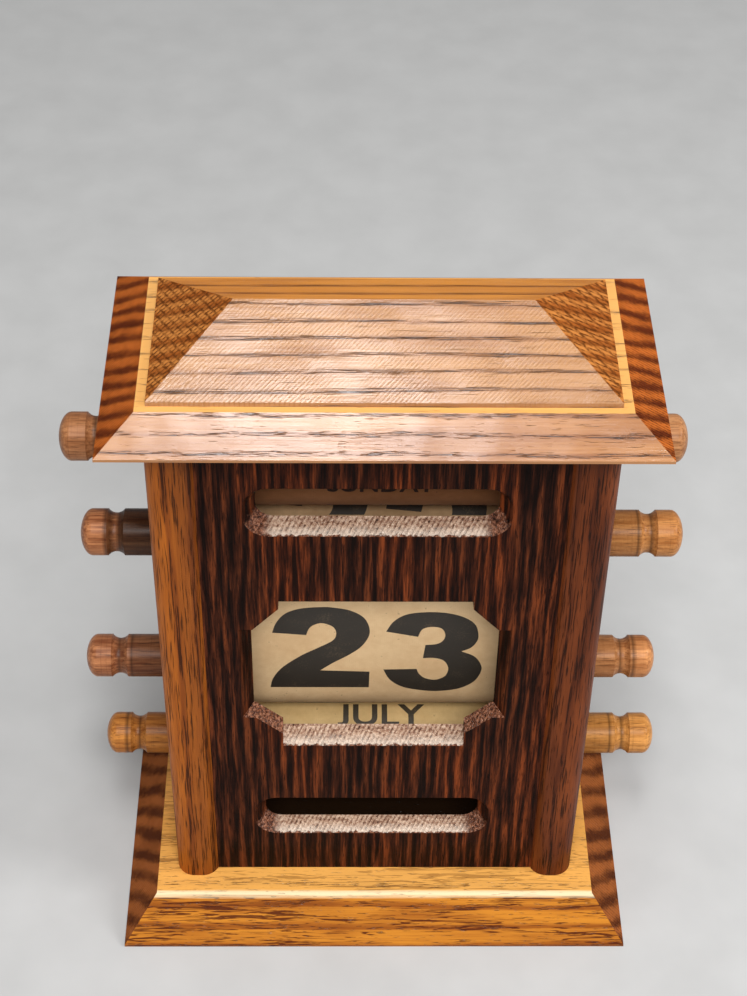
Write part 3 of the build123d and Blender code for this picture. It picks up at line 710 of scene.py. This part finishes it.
def cut_at(flat, level, side=0):
    """Cut flat lettering across; a side of -1 or 1 also clears what lies beyond the cut."""
    bmesh.ops.bisect_plane(
        flat, geom=flat.verts[:] + flat.edges[:] + flat.faces[:], dist=1e-8,
        plane_co=(0, level, 0), plane_no=(0, side or 1, 0), clear_outer=bool(side),
    )


def thicken(flat):
    """Give flat lettering an underside and walls; returns the underside's vertices."""
    outer_faces = flat.faces[:]
    rim = [(*e.verts, e.link_faces[0]) for e in flat.edges if len(e.link_faces) == 1]
    under = {v: flat.verts.new(v.co) for v in flat.verts[:]}
    for face in outer_faces:
        flat.faces.new([under[v] for v in reversed(face.verts[:])])
    for a, b, face in rim:
        order = list(face.verts)
        if order[(order.index(a) + 1) % len(order)] is not b:
            a, b = b, a
        flat.faces.new([b, a, under[a], under[b]])
    return set(under.values())


def printed(name, flat, place, body, material, window=None, step=0.9 * MM):
    """Bend flat lettering (x, s) along the paper in short steps, with a hair of thickness."""
    if window:
        cut_at(flat, window[0], -1)
        cut_at(flat, window[1], 1)
    levels = [v.co.y for v in flat.verts] or [0.0]
    cut, top = math.floor(min(levels) / step) * step, max(levels)
    while cut < top:
        cut_at(flat, cut)
        cut += step
    # the faces look to the front, away from the paper
    bmesh.ops.recalc_face_normals(flat, faces=flat.faces[:])
    for face in flat.faces:
        if face.normal.z < 0:
            face.normal_flip()
    under = thicken(flat)
    for v in flat.verts:
        y, z = place(v.co.y, INK_LIFT - (INK_DEPTH if v in under else 0))
        v.co = Vector((v.co.x, y, z))
    mesh = bpy.data.meshes.new(name)
    flat.to_mesh(mesh)
    flat.free()
    made = bpy.data.objects.new(name, mesh)
    bpy.context.scene.collection.objects.link(made)
    mesh.materials.append(material)
    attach(made, body)


def filled(loops):
    """A flat mesh from closed loops of (x, s) in metres; inner loops are holes."""
    flat = bmesh.new()
    edges = []
    for loop in loops:
        verts = [flat.verts.new((x, s, 0)) for x, s in loop]
        edges += [flat.edges.new((a, b)) for a, b in zip(verts, verts[1:] + verts[:1])]
    bmesh.ops.triangle_fill(flat, edges=edges, use_beauty=True, use_dissolve=False)
    return flat


def number_loops(digits, up):
    """Outlines of a two-digit number whose middle lies at a height up the strip, in metres."""
    loops = []
    for position, digit in enumerate(digits):
        for loop in DIGITS[digit]:
            right, lower = NUMBER_SHIFT + DIGIT_STEP * position, DIGIT_DROP * position
            loops.append([((x + right) * MM, (s - lower) * MM + up) for x, s in rounded(loop)])
    return loops


def level_letters(flat, height):
    """Stand every letter on the baseline and give all the same height."""
    left = set(flat.verts)
    while left:
        letter, reached = [], [left.pop()]
        while reached:
            letter.append(reached.pop())
            beside = {e.other_vert(letter[-1]) for e in letter[-1].link_edges} & left
            left -= beside
            reached += beside
        low, high = min(v.co.y for v in letter), max(v.co.y for v in letter)
        for v in letter:
            v.co.y = (v.co.y - low) / (high - low) * height


def word_mesh(text, width, height):
    """A word in plain capitals, its baseline at s = 0 and its middle at x = 0, in metres."""
    curve = bpy.data.curves.new("word", "FONT")
    curve.body = text
    curve.offset = 0.022
    curve.space_character = 1.04
    holder = bpy.data.objects.new("word", curve)
    bpy.context.scene.collection.objects.link(holder)
    bpy.context.view_layer.update()
    mesh = bpy.data.meshes.new_from_object(holder)
    bpy.data.objects.remove(holder)
    flat = bmesh.new()
    flat.from_mesh(mesh)
    bpy.data.meshes.remove(mesh)
    bmesh.ops.remove_doubles(flat, verts=flat.verts[:], dist=1e-5)
    xs = [v.co.x for v in flat.verts]
    left, right = min(xs), max(xs)
    for v in flat.verts:
        v.co.x = ((v.co.x - left) / (right - left) - 0.5) * width
    level_letters(flat, height)
    return flat


def gather(pieces):
    """Join several flat meshes into one, each moved by (x, s)."""
    joined = bmesh.new()
    for flat, x, s in pieces:
        copies = {v: joined.verts.new((v.co.x + x, v.co.y + s, 0)) for v in flat.verts}
        for face in flat.faces:
            joined.faces.new([copies[v] for v in face.verts])
        flat.free()
    return joined


dark_ink = ink("charcoal_ink", (0.034, 0.026, 0.018), (0.12, 0.085, 0.05))
month_ink = ink("olive_ink", (0.045, 0.030, 0.012), (0.14, 0.095, 0.04))
day_ink = ink("brown_ink", (0.035, 0.014, 0.008), (0.10, 0.045, 0.02))

NUMBER_Z = 68.0 * MM  # the height of the shown number's middle
NUMBER_PITCH = 32.5 * MM
MOST_OF_A_TURN = 0.98 * 2 * math.pi
web = Web(NUMBER_Z)

shown = filled([[(x * MM, s * MM) for x, s in rounded(loop)] for loop in (TWO, THREE)])
printed("number_23", shown, web.place, "case", dark_ink)
for digits, pitches in (("22", 1), ("24", -1)):
    flat = filled(number_loops(digits, pitches * NUMBER_PITCH))
    printed(f"number_{digits}_on_strip", flat, web.place, "case", dark_ink, web.ends())

# the same numbers go on round the two rolls, just below the strip's surface there
upper_ring_radius = ring_radius("upper_strip_roll")
upper_ring = on_ring(joint_axis("upper_date_turn"), upper_ring_radius)
upper_limit = (web.upper_radius * WEB_WRAP, upper_ring_radius * MOST_OF_A_TURN)
for digits, pitches in (("22", 1), ("21", 2)):
    flat = filled(number_loops(digits, pitches * NUMBER_PITCH - (web.straight - web.middle)))
    printed(f"number_{digits}_on_roll", flat, upper_ring, "upper_roller", dark_ink, upper_limit)
lower_ring_radius = ring_radius("lower_strip_roll")
lower_ring = on_ring(joint_axis("lower_date_turn"), lower_ring_radius)
lower_limit = (-lower_ring_radius * MOST_OF_A_TURN, -web.lower_radius * WEB_WRAP)
for digits, pitches in (("24", -1), ("25", -2)):
    flat = filled(number_loops(digits, pitches * NUMBER_PITCH + web.middle))
    printed(f"number_{digits}_on_roll", flat, lower_ring, "lower_roller", dark_ink, lower_limit)

DAYS = ("SUNDAY", "MONDAY", "TUESDAY", "WEDNESDAY", "THURSDAY", "FRIDAY", "SATURDAY")
MONTHS = (
    "JULY", "AUGUST", "SEPTEMBER", "OCTOBER", "NOVEMBER", "DECEMBER",
    "JANUARY", "FEBRUARY", "MARCH", "APRIL", "MAY", "JUNE",
)


def band_of_words(name, words, letter, height, first, middle, band, joint, body, material):
    """Words one under another round a drum.

    The letter's width, the height and the middle are in mm; the first word's baseline is at
    an angle in degrees up the drum's front.
    """
    radius = ring_radius(band)
    flats = []
    for k, text in enumerate(words):
        angle = math.radians(first) - k * 2 * math.pi / len(words)
        flat = word_mesh(text, len(text) * letter * MM, height * MM)
        flats.append((flat, middle * MM, angle * radius))
    place = on_ring(joint_axis(joint), radius)
    printed(name, gather(flats), place, body, material, step=0.6 * MM)


band_of_words(
    "weekday_words", DAYS, 3.45, 4.6, -11, 0.0, "day_band", "day_turn", "day_roller", day_ink,
)
band_of_words(
    "month_words", MONTHS, 4.75, 4.9, 56.2, 1.2, "month_band", "month_turn", "month_roller",
    month_ink,
)


# ---- floor, lights, camera -------------------------------------------------------------------
def stage_floor():
    g = Graph("pale_floor")
    grain = g.noise(g.place(), 0.06, 3.0)
    g.set(Base_Color=g.ramp(grain, [(0.3, (0.50, 0.50, 0.495)), (0.7, (0.54, 0.54, 0.535))]))
    g.set(Roughness=0.9, Specular_IOR_Level=0.1)
    mesh = bpy.data.meshes.new("floor")
    half = 3.0
    corners = [(-half, -half, 0), (half, -half, 0), (half, half, 0), (-half, half, 0)]
    mesh.from_pydata(corners, [], [(0, 1, 2, 3)])
    floor = bpy.data.objects.new("floor", mesh)
    bpy.context.scene.collection.objects.link(floor)
    mesh.materials.append(g.material)


def area_light(name, place, target, size, power):
    lamp = bpy.data.lights.new(name, "AREA")
    lamp.shape = "RECTANGLE"
    lamp.size, lamp.size_y = size
    lamp.energy = power
    made = bpy.data.objects.new(name, lamp)
    bpy.context.scene.collection.objects.link(made)
    made.location = place
    made.rotation_euler = (Vector(target) - Vector(place)).to_track_quat("-Z", "Y").to_euler()


def light_world():
    world = bpy.data.worlds.new("studio")
    bpy.context.scene.world = world
    world.use_nodes = True
    tree = world.node_tree
    tree.nodes.clear()
    output = tree.nodes.new("ShaderNodeOutputWorld")
    fill = tree.nodes.new("ShaderNodeBackground")
    fill.inputs["Color"].default_value = (1, 1, 1, 1)
    fill.inputs["Strength"].default_value = 0.30
    tree.links.new(fill.outputs[0], output.inputs["Surface"])


PHOTO_HEIGHT = 996
FOCAL_PIXELS = 2023.2


def photo_camera():
    """The camera that was fitted to the photograph's straight edges."""
    pitch, yaw, roll = 0.75427, 0.021779, -0.017823
    forward = Vector((
        math.sin(yaw) * math.cos(pitch), math.cos(yaw) * math.cos(pitch), -math.sin(pitch),
    ))
    level = Vector((math.cos(yaw), -math.sin(yaw), 0))
    below = forward.cross(level)
    right = math.cos(roll) * level + math.sin(roll) * below
    down = -math.sin(roll) * level + math.cos(roll) * below
    data = bpy.data.cameras.new("camera")
    data.sensor_width = 36.0
    data.lens = FOCAL_PIXELS / PHOTO_HEIGHT * data.sensor_width
    data.clip_start = 0.01
    camera = bpy.data.objects.new("camera", data)
    bpy.context.scene.collection.objects.link(camera)
    turn = Matrix((right, -down, -forward)).transposed().to_4x4()
    camera.matrix_world = Matrix.Translation((-0.00762, -0.29159, 0.37918)) @ turn
    bpy.context.scene.camera = camera


stage_floor()
light_world()
area_light("key", (-0.02, -0.19, 0.83), (0, 0, 0.09), (0.15, 0.30), 2.8)
area_light("front", (0.05, -0.66, 0.86), (0, 0, 0.07), (0.50, 0.24), 6.2)
area_light("right", (0.74, -0.22, 0.58), (0, 0, 0.07), (0.30, 0.30), 3.6)
photo_camera()
bpy.context.scene.view_settings.view_transform = "Standard"
